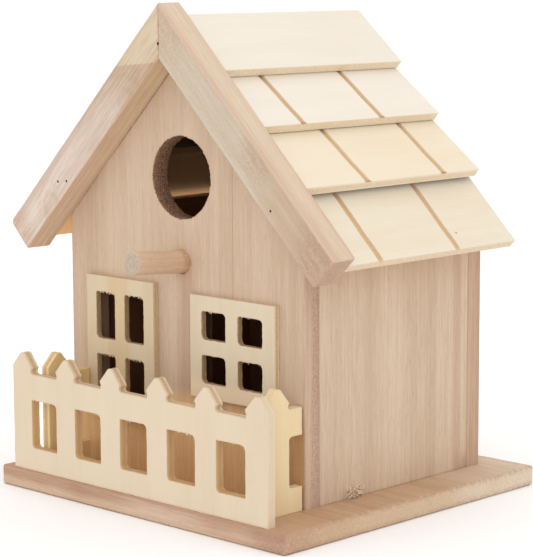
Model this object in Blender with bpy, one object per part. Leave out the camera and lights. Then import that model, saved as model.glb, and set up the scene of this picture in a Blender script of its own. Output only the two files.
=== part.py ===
"""Birdhouse: a gabled nest box of thin boards with a picket-fenced porch, built as separate pieces.

Metres, +Z up. The front faces -Y, and +X is to the right seen from the front.
The origin is under the middle of the object, on the base board's underside: X = 0 is the plane
through the ridge, and Y = 0 is half way along the base board.
"""
import math

import bmesh
import bpy
from mathutils import Matrix, Vector

MM = 0.001
GAP = 0.3 * MM                       # clearance between pieces that touch

# Base board
BASE_WIDTH = 171.4 * MM
BASE_DEPTH = 156.8 * MM
BASE_THICK = 8.6 * MM
BASE_OFFSET = 3.7 * MM               # the board's middle lies this far right of the ridge
BASE_EDGE_RADIUS = 1.3 * MM
PORCH_DEPTH = 32.2 * MM              # board in front of the front wall

# House box
WALL_THICK = 8.4 * MM
HOUSE_WIDTH = 140.0 * MM
HOUSE_DEPTH = 110.6 * MM
SHOULDER_HEIGHT = 113.1 * MM         # where the 45 degree gable starts, above the base board
SIDE_HEIGHT = 111.3 * MM             # side walls stop short of the roof and leave an airing slot
ENTRANCE_RADIUS = 17.2 * MM
ENTRANCE_HEIGHT = 129.0 * MM

# Perch
PERCH_RADIUS = 4.85 * MM
PERCH_REACH = 28.1 * MM              # length in front of the wall
PERCH_HEIGHT = 93.6 * MM             # at the middle of the wall's thickness
PERCH_TILT = math.radians(4.0)       # the outer end rises
PERCH_BORE = 5.4 * MM

# Clean-out door on the back wall, hung on one screw
DOOR_THICK = 2.6 * MM
DOOR_WIDTH = 50.0 * MM
DOOR_BOTTOM = 8.0 * MM               # heights above the base board
DOOR_TOP = 80.0 * MM
DOOR_CORNER = 9.0 * MM
PIVOT_HEIGHT = 71.0 * MM
HATCH_WIDTH = 38.0 * MM
HATCH_BOTTOM = 13.0 * MM
HATCH_TOP = 58.0 * MM
SCREW_RADIUS = 1.6 * MM
SCREW_HEAD_RADIUS = 3.6 * MM
SCREW_HEAD_HEIGHT = 2.2 * MM
SCREW_GRIP = 7.0 * MM                # length in the back wall

# Roof: four rows of thin planks on each slope, behind two mitred barge boards
PITCH = math.radians(45.0)
SHINGLE_THICK = 4.1 * MM
SHINGLE_HEIGHT = 50.0 * MM           # along the slope
ROW_EDGES = (24.7 * MM, 55.4 * MM, 87.7 * MM, 121.8 * MM)   # lower edges, down from the gable's peak
RIDGE_ROW_TILT = math.radians(3.9)
KERF_WIDTH = 2.0 * MM
KERF_DEPTH = 1.5 * MM
KERF_STOP = 0.6 * MM                 # the kerfs end this far above the lower edge
KERF_PITCH = 48.0 * MM
KERF_STARTS = (None, 24.6 * MM, 38.4 * MM, 23.8 * MM)       # first kerf of each row, from the front
BARGE_THICK = 12.0 * MM
BARGE_WIDTH = 15.8 * MM
BARGE_LENGTH = 137.4 * MM            # along the outer edge
BARGE_RISE = 12.9 * MM               # outer edge above the gable, square to the slope
BARGE_EDGE_RADIUS = 0.7 * MM

# Window frames: plates of thin plywood, each with two by two panes
FRAME_THICK = 2.5 * MM
LEFT_FRAME = dict(left=-57.4 * MM, bottom=21.9 * MM, width=42.4 * MM, height=61.7 * MM,
                  rim=(6.2 * MM, 6.95 * MM), bar=(6.2 * MM, 7.0 * MM))
RIGHT_FRAME = dict(left=7.3 * MM, bottom=38.5 * MM, width=48.7 * MM, height=42.9 * MM,
                   rim=(6.9 * MM, 6.4 * MM), bar=(7.1 * MM, 6.6 * MM))
PANE_CORNERS = (2.0 * MM, 0.5 * MM, 2.0 * MM, 1.0 * MM)     # bottom left, then anticlockwise
FRAME_LAP = 1.9 * MM                 # the frame covers the wall's opening by this much

# Picket fence
FENCE_THICK = 4.3 * MM
FENCE_LEFT = -74.3 * MM
FENCE_FRONT = 31.0 * MM              # outer face, in front of the front wall
PICKETS = 6
PICKET_WIDTH = 12.2 * MM
PICKET_PITCH = 28.28 * MM
PICKET_HEIGHT = 50.8 * MM
PICKET_SHOULDER = 45.0 * MM
PICKET_FLAT = 1.8 * MM
RAIL_TOP = 41.9 * MM
FENCE_HOLE_BOTTOM = 9.8 * MM
FENCE_HOLE_TOP = 30.7 * MM
FENCE_CORNER = 1.5 * MM
LEFT_RETURN_X = -60.3 * MM           # outer faces of the two short side panels
RIGHT_RETURN_X = 69.3 * MM
LEFT_RETURN_LEAD = 0.0 * MM          # rail in front of each side panel's picket
RIGHT_RETURN_LEAD = 6.0 * MM
LEFT_RETURN_CLEARANCE = FRAME_THICK + 2 * GAP    # the left one stops at the window frame
RIGHT_RETURN_CLEARANCE = 0.8 * MM    # the right one nearly reaches the front wall

# Brads
BRAD_RADIUS = 0.5 * MM
BRAD_HEAD_RADIUS = 0.8 * MM
BRAD_HEAD_HEIGHT = 0.6 * MM
BRAD_LENGTH = 17.0 * MM
BRAD_BITE = 1.45 * MM                # the toed brads enter the wall this far inside its sloping edge
BRAD_SINK = 0.2 * MM                 # heads lie below the surface
BASE_BRAD_X = 42.0 * MM

# Where things are
FLOOR = BASE_THICK + GAP             # underside of the walls
FRONT_Y = -BASE_DEPTH / 2 + PORCH_DEPTH
BACK_Y = FRONT_Y + HOUSE_DEPTH
PEAK = BASE_THICK + SHOULDER_HEIGHT + HOUSE_WIDTH / 2 * math.tan(PITCH)

COLOURS = {
    "board": (0.60, 0.46, 0.33, 1.0),
    "barge": (0.66, 0.53, 0.41, 1.0),
    "plywood": (0.80, 0.68, 0.50, 1.0),
    "dowel": (0.58, 0.46, 0.34, 1.0),
    "steel": (0.55, 0.54, 0.52, 1.0),
}


def clear_scene():
    for thing in list(bpy.data.objects):
        bpy.data.objects.remove(thing, do_unlink=True)


def finish_for(name, colour, roughness=0.75, metallic=0.0):
    """A Principled material of the piece's own."""
    material = bpy.data.materials.new(name)
    material.use_nodes = True
    shader = material.node_tree.nodes["Principled BSDF"]
    shader.inputs["Base Color"].default_value = COLOURS[colour]
    shader.inputs["Roughness"].default_value = roughness
    shader.inputs["Metallic"].default_value = metallic
    return material


def add_object(name, mesh, colour, location=(0, 0, 0), rotation=(0, 0, 0), roughness=0.75, metallic=0.0):
    thing = bpy.data.objects.new(name, mesh)
    thing.location = location
    thing.rotation_euler = rotation
    mesh.materials.append(finish_for(name + "_finish", colour, roughness, metallic))
    bpy.context.scene.collection.objects.link(thing)
    return thing


def mesh_from(bm, name):
    bmesh.ops.recalc_face_normals(bm, faces=bm.faces)
    mesh = bpy.data.meshes.new(name)
    bm.to_mesh(mesh)
    bm.free()
    return mesh


def rounded(corners, steps=4):
    """Outline points from (x, z, radius) corners, with an arc wherever the radius isn't zero."""
    points = []
    for index, (x, z, radius) in enumerate(corners):
        here = Vector((x, z))
        if radius <= 0:
            points.append(here)
            continue
        before = (Vector(corners[index - 1][:2]) - here).normalized()
        after = (Vector(corners[(index + 1) % len(corners)][:2]) - here).normalized()
        half = before.angle(after) / 2
        centre = here + (before + after).normalized() * radius / math.sin(half)
        start = here + before * radius / math.tan(half) - centre
        end = here + after * radius / math.tan(half) - centre
        sweep = start.angle_signed(end)
        for step in range(steps + 1):
            turn = Matrix.Rotation(-sweep * step / steps, 2)
            points.append(centre + turn @ start)
    return points


def rectangle(left, bottom, width, height, radii=(0, 0, 0, 0)):
    right, top = left + width, bottom + height
    spots = ((left, bottom), (right, bottom), (right, top), (left, top))
    return rounded([(x, z, radius) for (x, z), radius in zip(spots, radii)])


def circle(x, z, radius, count):
    angles = [2 * math.pi * index / count for index in range(count)]
    return [Vector((x + radius * math.cos(angle), z + radius * math.sin(angle))) for angle in angles]


def plate_mesh(name, outline, thickness, holes=()):
    """A flat plate: outline and holes lie in the local XZ plane, and the thickness runs along +Y."""
    bm = bmesh.new()
    for loop in (outline, *holes):
        verts = [bm.verts.new((point.x, 0, point.y)) for point in loop]
        for index, vert in enumerate(verts):
            bm.edges.new((verts[index - 1], vert))
    bmesh.ops.triangle_fill(bm, use_beauty=True, edges=bm.edges[:])
    made = bmesh.ops.extrude_face_region(bm, geom=bm.faces[:])["geom"]
    moved = [item for item in made if isinstance(item, bmesh.types.BMVert)]
    bmesh.ops.translate(bm, verts=moved, vec=(0, thickness, 0))
    return mesh_from(bm, name)


def turned_mesh(name, profile, count):
    """A round piece along +Y from (y, radius) points; both ends close on the axis."""
    bm = bmesh.new()
    rings = []
    for y, radius in profile:
        ring = [bm.verts.new((point.x, y, point.y)) for point in circle(0, 0, radius, count)]
        rings.append(ring)
    for near, far in zip(rings, rings[1:]):
        for index in range(count):
            bm.faces.new((near[index - 1], near[index], far[index], far[index - 1]))
    bm.faces.new(rings[0])
    bm.faces.new(rings[-1])
    mesh = mesh_from(bm, name)
    mesh.shade_smooth()
    mesh.set_sharp_from_angle(angle=math.radians(35))
    return mesh


def add_bevel(thing, width, segments):
    bevel = thing.modifiers.new("edges", "BEVEL")
    bevel.width = width
    bevel.segments = segments
    bevel.limit_method = "ANGLE"
    bevel.angle_limit = math.radians(40)


def add_cut(thing, cutter):
    cut = thing.modifiers.new("cut_" + cutter.name, "BOOLEAN")
    cut.operation = "DIFFERENCE"
    cut.solver = "EXACT"
    cut.object = cutter


def add_cutter(name, mesh, location=(0, 0, 0), rotation=(0, 0, 0)):
    cutter = bpy.data.objects.new(name, mesh)
    cutter.location = location
    cutter.rotation_euler = rotation
    cutter.hide_render = True
    cutter.display_type = "WIRE"
    bpy.context.scene.collection.objects.link(cutter)
    return cutter


# --- base and walls -------------------------------------------------------------------------

def add_base_board():
    outline = rectangle(-BASE_WIDTH / 2, 0, BASE_WIDTH, BASE_THICK)
    mesh = plate_mesh("base_board", outline, BASE_DEPTH)
    base = add_object("base_board", mesh, "board", (BASE_OFFSET, -BASE_DEPTH / 2, 0))
    add_bevel(base, BASE_EDGE_RADIUS, 3)
    return base


def gable_outline():
    """A wall's five-sided outline, from its foot at z = 0."""
    half = HOUSE_WIDTH / 2
    shoulder = SHOULDER_HEIGHT - GAP
    corners = ((-half, 0), (half, 0), (half, shoulder), (0, shoulder + half * math.tan(PITCH)), (-half, shoulder))
    return [Vector(corner) for corner in corners]


def window_opening(frame):
    return rectangle(frame["left"] + FRAME_LAP, frame["bottom"] + FRAME_LAP - GAP,
                     frame["width"] - 2 * FRAME_LAP, frame["height"] - 2 * FRAME_LAP)


def add_front_wall():
    holes = [circle(0, ENTRANCE_HEIGHT - GAP, ENTRANCE_RADIUS, 56),
             circle(0, PERCH_HEIGHT - GAP, PERCH_BORE, 28),
             window_opening(LEFT_FRAME),
             window_opening(RIGHT_FRAME)]
    mesh = plate_mesh("front_wall", gable_outline(), WALL_THICK, holes)
    return add_object("front_wall", mesh, "board", (0, FRONT_Y, FLOOR))


def add_back_wall():
    hatch = rectangle(-HATCH_WIDTH / 2, HATCH_BOTTOM, HATCH_WIDTH, HATCH_TOP - HATCH_BOTTOM, [3 * MM] * 4)
    screw_bore = circle(0, PIVOT_HEIGHT - GAP, SCREW_RADIUS + GAP, 16)
    mesh = plate_mesh("back_wall", gable_outline(), WALL_THICK, [hatch, screw_bore])
    return add_object("back_wall", mesh, "board", (0, BACK_Y - WALL_THICK, FLOOR))


def add_side_wall(name, side):
    """A plain board between the two gables, its outer face flush with their edges."""
    length = HOUSE_DEPTH - 2 * WALL_THICK - 2 * GAP
    mesh = plate_mesh(name, rectangle(0, 0, length, SIDE_HEIGHT - GAP), WALL_THICK)
    outer = side * HOUSE_WIDTH / 2
    near = outer if side > 0 else outer + WALL_THICK
    return add_object(name, mesh, "board", (near, FRONT_Y + WALL_THICK + GAP, FLOOR), (0, 0, math.pi / 2))


def add_perch():
    """A dowel through the front wall: +Y points inwards, and the turn lifts the outer end."""
    outer, inner = -WALL_THICK / 2 - PERCH_REACH, WALL_THICK / 2 - GAP
    edge = 0.5 * MM
    profile = ((outer, PERCH_RADIUS - edge), (outer + edge, PERCH_RADIUS),
               (inner - edge, PERCH_RADIUS), (inner, PERCH_RADIUS - edge))
    mesh = turned_mesh("perch_dowel", profile, 28)
    centre = (0, FRONT_Y + WALL_THICK / 2, BASE_THICK + PERCH_HEIGHT)
    return add_object("perch_dowel", mesh, "dowel", centre, (-PERCH_TILT, 0, 0))


# --- clean-out door -------------------------------------------------------------------------

def add_cleanout_door():
    """The door's origin is on its pivot, on the face that lies against the back wall."""
    half = DOOR_WIDTH / 2
    bottom, top = DOOR_BOTTOM - PIVOT_HEIGHT, DOOR_TOP - PIVOT_HEIGHT
    outline = rectangle(-half, bottom, DOOR_WIDTH, top - bottom, [DOOR_CORNER] * 4)
    pivot_hole = circle(0, 0, SCREW_RADIUS + GAP, 16)
    mesh = plate_mesh("cleanout_door", outline, DOOR_THICK, [pivot_hole])
    return add_object("cleanout_door", mesh, "plywood", (0, BACK_Y + GAP, BASE_THICK + PIVOT_HEIGHT))


def add_door_screw():
    """A round-headed wood screw: its head holds the door, and its shank is the door's pivot."""
    seat = GAP + DOOR_THICK + GAP
    dome = [(seat + SCREW_HEAD_HEIGHT * math.sin(turn), SCREW_HEAD_RADIUS * math.cos(turn))
            for turn in [math.radians(15 * step) for step in range(6)]]
    profile = [(-SCREW_GRIP, SCREW_RADIUS * 0.3), (-SCREW_GRIP + 2 * MM, SCREW_RADIUS), (seat, SCREW_RADIUS)] + dome
    mesh = turned_mesh("door_screw", profile, 20)
    return add_object("door_screw", mesh, "steel", (0, BACK_Y, BASE_THICK + PIVOT_HEIGHT), roughness=0.35, metallic=1.0)


# --- roof -----------------------------------------------------------------------------------

def slope_point(side, down, out):
    """World X and Z of a point down the gable's slope from its peak, and out from it."""
    x = down * math.cos(PITCH) + out * math.sin(PITCH)
    z = PEAK - down * math.sin(PITCH) + out * math.cos(PITCH)
    return side * x, z


def row_rests():
    """Each row's tilt off the slope and its underside's height at the lower edge, eaves upwards.

    The lowest row lies on the gable. Each row above bridges from the gable, at its own upper edge,
    over the upper edge of the row below. The ridge row lies on the row below and meets its twin.
    """
    rests = {3: (0.0, GAP)}
    for row in (2, 1):
        reach = SHINGLE_HEIGHT - (ROW_EDGES[row] - (ROW_EDGES[row + 1] - SHINGLE_HEIGHT))
        tilt = math.asin((SHINGLE_THICK + GAP) / reach)
        rests[row] = (tilt, GAP + SHINGLE_HEIGHT * math.sin(tilt))
    below_tilt, below_out = rests[1]
    below_top = below_out + SHINGLE_THICK / math.cos(below_tilt)
    overlap = ROW_EDGES[1] - ROW_EDGES[0]
    rests[0] = (RIDGE_ROW_TILT, below_top - overlap * math.tan(below_tilt) + GAP)
    return rests


def ridge_cut(angle, lower_x):
    """Local x of a vertical cut just short of the ridge, at the underside and at the top face."""
    underside = -(lower_x - GAP / 2) / math.cos(angle)
    return underside, underside - SHINGLE_THICK * math.tan(angle)


def add_shingle(name, side, row):
    """A plank whose local +X runs down the slope and local +Z out of it."""
    tilt, out = row_rests()[row]
    angle = PITCH - tilt
    lower_x, lower_z = slope_point(side, ROW_EDGES[row], out)
    if row == 0:
        under, over = ridge_cut(angle, abs(lower_x))
    else:
        under = over = -SHINGLE_HEIGHT
    corners = [Vector(corner) for corner in ((0, 0), (0, SHINGLE_THICK), (over, SHINGLE_THICK), (under, 0))]
    length = HOUSE_DEPTH - GAP
    mesh = plate_mesh(name, corners, length)
    start_y = FRONT_Y + GAP if side > 0 else BACK_Y
    turn = 0 if side > 0 else math.pi
    place = dict(location=(lower_x, start_y, lower_z), rotation=(0, angle, turn))
    shingle = add_object(name, mesh, "plywood", **place)
    if KERF_STARTS[row]:
        add_cut(shingle, add_kerf_cutter(name, side, row, length, place))
    return shingle


def add_kerf_cutter(name, side, row, length, place):
    """Two saw kerfs run up the plank's face and out of its upper edge."""
    spare = 1 * MM
    bm = bmesh.new()
    for index in range(2):
        from_front = KERF_STARTS[row] + index * KERF_PITCH
        y = from_front if side > 0 else length - from_front
        size = (SHINGLE_HEIGHT + spare, KERF_WIDTH, KERF_DEPTH + spare)
        centre = (-KERF_STOP - size[0] / 2, y, SHINGLE_THICK - KERF_DEPTH + size[2] / 2)
        matrix = Matrix.Translation(centre) @ Matrix.Diagonal((*size, 1.0))
        bmesh.ops.create_cube(bm, size=1.0, matrix=matrix)
    return add_cutter("kerfs_" + name, mesh_from(bm, "kerfs_" + name), **place)


def add_barge_board(name, side):
    """A thick board on the front edge of one slope, mitred at the peak, its lower end cut square."""
    inner = BARGE_RISE - BARGE_WIDTH
    peak_outer = BARGE_RISE / math.cos(PITCH)
    peak_inner = inner / math.cos(PITCH)
    lower_down = BARGE_LENGTH - BARGE_RISE * math.tan(PITCH)
    ends = [slope_point(side, lower_down, BARGE_RISE), slope_point(side, lower_down, inner)]
    mitre = side * GAP / 2
    drop = GAP / 2 * math.tan(PITCH)
    corners = [(mitre, PEAK + peak_outer - drop), *ends, (mitre, PEAK + peak_inner - drop)]
    mesh = plate_mesh(name, [Vector(corner) for corner in corners], BARGE_THICK)
    barge = add_object(name, mesh, "barge", (0, FRONT_Y - GAP - BARGE_THICK, 0))
    add_bevel(barge, BARGE_EDGE_RADIUS, 2)
    return barge


# --- windows and fence ----------------------------------------------------------------------

def add_window(name, frame):
    rim_x, rim_z = frame["rim"]
    bar_x, bar_z = frame["bar"]
    pane_width = (frame["width"] - 2 * rim_x - bar_x) / 2
    pane_height = (frame["height"] - 2 * rim_z - bar_z) / 2
    panes = []
    for column in range(2):
        for row in range(2):
            left = rim_x + column * (pane_width + bar_x)
            bottom = rim_z + row * (pane_height + bar_z)
            panes.append(rectangle(left, bottom, pane_width, pane_height, PANE_CORNERS))
    mesh = plate_mesh(name, rectangle(0, 0, frame["width"], frame["height"]), FRAME_THICK, panes)
    place = (frame["left"], FRONT_Y - GAP - FRAME_THICK, BASE_THICK + frame["bottom"])
    return add_object(name, mesh, "plywood", place)


def picket(left):
    """The corners of one picket above the rail, from right to left."""
    right = left + PICKET_WIDTH
    middle = left + PICKET_WIDTH / 2
    return [(right, RAIL_TOP, FENCE_CORNER), (right, PICKET_SHOULDER, 0),
            (middle + PICKET_FLAT / 2, PICKET_HEIGHT, 0), (middle - PICKET_FLAT / 2, PICKET_HEIGHT, 0),
            (left, PICKET_SHOULDER, 0), (left, RAIL_TOP, FENCE_CORNER)]


def fence_mesh(name, length, first, count):
    """A run of fence: a rail with holes under the gaps between its pickets.

    A picket that starts or ends the run has a straight side down to the foot, and a gap that
    the run's end cuts is open to that end.
    """
    top = []
    holes = []
    half_gaps = []
    for index in reversed(range(count)):
        top += picket(first + index * PICKET_PITCH)
        if index:
            left = first + (index - 1) * PICKET_PITCH + PICKET_WIDTH
            width = PICKET_PITCH - PICKET_WIDTH
            height = FENCE_HOLE_TOP - FENCE_HOLE_BOTTOM
            holes.append(rectangle(left, FENCE_HOLE_BOTTOM, width, height, [FENCE_CORNER] * 4))
    last = first + (count - 1) * PICKET_PITCH + PICKET_WIDTH
    ends_open = last < length - GAP
    starts_open = first > GAP
    if ends_open:
        half_gaps = [(length, FENCE_HOLE_BOTTOM, 0), (last, FENCE_HOLE_BOTTOM, FENCE_CORNER),
                     (last, FENCE_HOLE_TOP, FENCE_CORNER), (length, FENCE_HOLE_TOP, 0), (length, RAIL_TOP, 0)]
    else:
        top = top[1:]
    outline = [(0, 0, 0), (length, 0, 0), *half_gaps, *top]
    if starts_open:
        outline += [(0, RAIL_TOP, 0), (0, FENCE_HOLE_TOP, 0), (first, FENCE_HOLE_TOP, FENCE_CORNER),
                    (first, FENCE_HOLE_BOTTOM, FENCE_CORNER), (0, FENCE_HOLE_BOTTOM, 0)]
    else:
        outline.pop()
    return plate_mesh(name, rounded(outline, 3), FENCE_THICK, holes)


def add_fence_front():
    length = (PICKETS - 1) * PICKET_PITCH + PICKET_WIDTH
    mesh = fence_mesh("fence_front", length, 0, PICKETS)
    return add_object("fence_front", mesh, "plywood", (FENCE_LEFT, FRONT_Y - FENCE_FRONT, FLOOR))


def add_fence_return(name, near_x, lead, clearance):
    """A short side panel that runs back from the front panel towards the wall."""
    start = FRONT_Y - FENCE_FRONT + FENCE_THICK + GAP
    length = FRONT_Y - clearance - start
    mesh = fence_mesh(name, length, lead, 1)
    return add_object(name, mesh, "plywood", (near_x, start, FLOOR), (0, 0, math.pi / 2))


# --- brads ----------------------------------------------------------------------------------

def brad_profile(length):
    return ((0, BRAD_HEAD_RADIUS), (BRAD_HEAD_HEIGHT, BRAD_HEAD_RADIUS),
            (BRAD_HEAD_HEIGHT, BRAD_RADIUS), (length, BRAD_RADIUS))


def add_brad(name, head, aim, boards):
    """A brad from its head towards a point, and a bore for it in each board that it joins."""
    head, aim = Vector(head), Vector(aim)
    turn = (aim - head).to_track_quat("Y", "Z").to_euler()
    bore_start = head - (aim - head).normalized() * 1 * MM
    bore = turned_mesh("bore_" + name, ((0, BRAD_HEAD_RADIUS + GAP), (BRAD_LENGTH + 2 * MM, BRAD_HEAD_RADIUS + GAP)), 10)
    cutter = add_cutter("bore_" + name, bore, bore_start, turn)
    for board in boards:
        add_cut(board, cutter)
    mesh = turned_mesh(name, brad_profile(BRAD_LENGTH), 10)
    return add_object(name, mesh, "steel", head, turn, roughness=0.4, metallic=1.0)


def add_barge_brads(barges, front_wall):
    """Toed brads: each starts in a barge board's face and slants in to catch the gable's edge."""
    face = FRONT_Y - GAP - BARGE_THICK + BRAD_SINK
    peak_head = slope_point(1, 0, 0)
    add_brad("brad_peak", (0, face, peak_head[1] + 1.7 * MM), (0, FRONT_Y, PEAK - BRAD_BITE / math.cos(PITCH)),
             [*barges, front_wall])
    spots = (("brad_right", 1, 88.8 * MM, 0.8 * MM), ("brad_left_lower", -1, 87.2 * MM, 4.0 * MM),
             ("brad_left_upper", -1, 82.9 * MM, 0.0 * MM))
    for name, side, down, out in spots:
        head_x, head_z = slope_point(side, down, out)
        aim_x, aim_z = slope_point(side, down, -BRAD_BITE)
        barge = barges[1] if side > 0 else barges[0]
        add_brad(name, (head_x, face, head_z), (aim_x, FRONT_Y, aim_z), [barge, front_wall])


def add_base_brads(base, front_wall, back_wall):
    """Brads driven up through the base board into the gables' feet."""
    walls = (("front", front_wall, FRONT_Y + WALL_THICK / 2), ("back", back_wall, BACK_Y - WALL_THICK / 2))
    for place, wall, y in walls:
        for side, x in (("left", -BASE_BRAD_X), ("right", BASE_BRAD_X)):
            add_brad(f"base_brad_{place}_{side}", (x, y, BRAD_SINK + GAP), (x, y, BASE_THICK), [base, wall])


def main():
    clear_scene()
    base = add_base_board()
    front_wall = add_front_wall()
    back_wall = add_back_wall()
    add_side_wall("left_wall", -1)
    add_side_wall("right_wall", 1)
    add_perch()
    add_cleanout_door()
    add_door_screw()
    for row in range(len(ROW_EDGES)):
        add_shingle(f"shingle_left_{row + 1}", -1, row)
        add_shingle(f"shingle_right_{row + 1}", 1, row)
    barges = [add_barge_board("barge_left", -1), add_barge_board("barge_right", 1)]
    add_window("window_left", LEFT_FRAME)
    add_window("window_right", RIGHT_FRAME)
    add_fence_front()
    add_fence_return("fence_left", LEFT_RETURN_X + FENCE_THICK, LEFT_RETURN_LEAD, LEFT_RETURN_CLEARANCE)
    add_fence_return("fence_right", RIGHT_RETURN_X, RIGHT_RETURN_LEAD, RIGHT_RETURN_CLEARANCE)
    add_barge_brads(barges, front_wall)
    add_base_brads(base, front_wall, back_wall)


main()
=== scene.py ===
"""The birdhouse's finished look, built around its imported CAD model.

Every CAD piece but the base board's brads is replaced by a finer one in the same place: boards with
eased, slightly uneven edges, roof planks with gouged grooves, sawn plywood with its plies showing,
and loose fibres where the saw tore the wood. Lengths are in metres.
"""

import math
import random

import bmesh
import bpy
from mathutils import Matrix, Vector, noise


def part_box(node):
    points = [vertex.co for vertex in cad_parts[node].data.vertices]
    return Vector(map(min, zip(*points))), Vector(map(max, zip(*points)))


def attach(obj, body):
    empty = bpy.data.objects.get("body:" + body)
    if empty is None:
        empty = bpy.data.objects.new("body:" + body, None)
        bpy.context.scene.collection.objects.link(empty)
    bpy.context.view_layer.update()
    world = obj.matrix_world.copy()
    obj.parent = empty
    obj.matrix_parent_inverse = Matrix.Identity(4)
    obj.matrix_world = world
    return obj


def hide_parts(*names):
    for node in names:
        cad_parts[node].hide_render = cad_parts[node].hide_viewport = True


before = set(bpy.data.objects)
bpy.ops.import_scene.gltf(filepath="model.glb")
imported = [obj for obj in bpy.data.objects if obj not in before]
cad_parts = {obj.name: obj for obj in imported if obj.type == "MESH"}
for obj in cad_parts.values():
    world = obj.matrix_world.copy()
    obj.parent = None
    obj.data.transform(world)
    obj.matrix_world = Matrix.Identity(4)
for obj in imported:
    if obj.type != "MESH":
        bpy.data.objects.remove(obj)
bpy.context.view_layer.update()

MM = 0.001
GAP = 0.3 * MM                       # the CAD keeps its pieces this far apart; the looks close it
BARGE_WIDTH = 15.8 * MM
UP = Vector((0, 0, 1))
ACROSS = Vector((1, 0, 0))
BACK = Vector((0, 1, 0))
HOUSE = "house"
DOOR = "door"
WOBBLE_SEED = 7
noise.seed_set(WOBBLE_SEED)          # without a seed, noise_vector follows the clock


# --- outlines -------------------------------------------------------------------------------

def rounded(corners, steps=5):
    """Outline points from (x, y, radius) corners, with an arc wherever the radius isn't zero."""
    points = []
    for index, (x, y, radius) in enumerate(corners):
        here = Vector((x, y))
        if radius <= 0:
            points.append(here)
            continue
        before = (Vector(corners[index - 1][:2]) - here).normalized()
        after = (Vector(corners[(index + 1) % len(corners)][:2]) - here).normalized()
        half = before.angle(after) / 2
        centre = here + (before + after).normalized() * radius / math.sin(half)
        start = here + before * radius / math.tan(half) - centre
        end = here + after * radius / math.tan(half) - centre
        sweep = start.angle_signed(end)
        points += [centre + Matrix.Rotation(-sweep * step / steps, 2) @ start for step in range(steps + 1)]
    return points


def rectangle(left, bottom, right, top, radii=(0, 0, 0, 0)):
    spots = ((left, bottom), (right, bottom), (right, top), (left, top))
    return rounded([(x, y, radius) for (x, y), radius in zip(spots, radii)])


def circle(x, y, radius, count):
    angles = [2 * math.pi * index / count for index in range(count)]
    return [Vector((x + radius * math.cos(angle), y + radius * math.sin(angle))) for angle in angles]


def dense(points, step):
    """The same closed outline with extra points, so that no side is longer than the step."""
    made = []
    for index, point in enumerate(points):
        following = points[(index + 1) % len(points)]
        count = max(1, math.ceil((following - point).length / step))
        made += [point.lerp(following, part / count) for part in range(count)]
    return made


def inset(points, distance):
    """A counter-clockwise outline moved inwards; a clockwise one, around a hole, moves outwards."""
    moved = []
    for index, point in enumerate(points):
        entry = (point - points[index - 1]).normalized()
        exit_ = (points[(index + 1) % len(points)] - point).normalized()
        left_in, left_out = Vector((-entry.y, entry.x)), Vector((-exit_.y, exit_.x))
        moved.append(point + (left_in + left_out) * distance / (1 + left_in.dot(left_out)))
    return moved


# --- meshes ---------------------------------------------------------------------------------

def finish_mesh(bm, name, replaced=None, body=HOUSE, wobble=0.0, wobble_size=6 * MM):
    """Turns a bmesh into a shown piece on a body, with slightly uneven edges, in place of a CAD node."""
    for vert in bm.verts:
        vert.co += noise.noise_vector(vert.co / wobble_size) * wobble
    bmesh.ops.recalc_face_normals(bm, faces=bm.faces)
    mesh = bpy.data.meshes.new(name)
    bm.to_mesh(mesh)
    bm.free()
    mesh.shade_smooth()
    mesh.set_sharp_from_angle(angle=math.radians(50))
    piece = bpy.data.objects.new(name, mesh)
    bpy.context.scene.collection.objects.link(piece)
    weighted = piece.modifiers.new("flat_faces", "WEIGHTED_NORMAL")
    weighted.keep_sharp = True
    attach(piece, body)
    if replaced:
        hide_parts(replaced)
    return piece


def eased(thickness, radius, margin):
    """A plate's section as (depth, inset, edge) steps: both faces, eased edges and three plies."""
    front = [(0, radius + margin, 0), (0, radius, 0.6), (radius * 0.3, radius * 0.3, 1), (radius, 0, 0.7)]
    middle = [(thickness * part, 0, 0) for part in (0.32, 0.5, 0.68)]
    back = [(thickness - depth, inside, edge) for depth, inside, edge in reversed(front)]
    return front + middle + back


def facing_front(y):
    """Axes for a plate drawn in X and Z, with its front face at y."""
    return Vector((0, y, 0)), ACROSS, UP, BACK


def facing_left(x):
    """Axes for a plate drawn in Y and Z, with its left face at x."""
    return Vector((x, 0, 0)), BACK, UP, ACROSS


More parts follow.
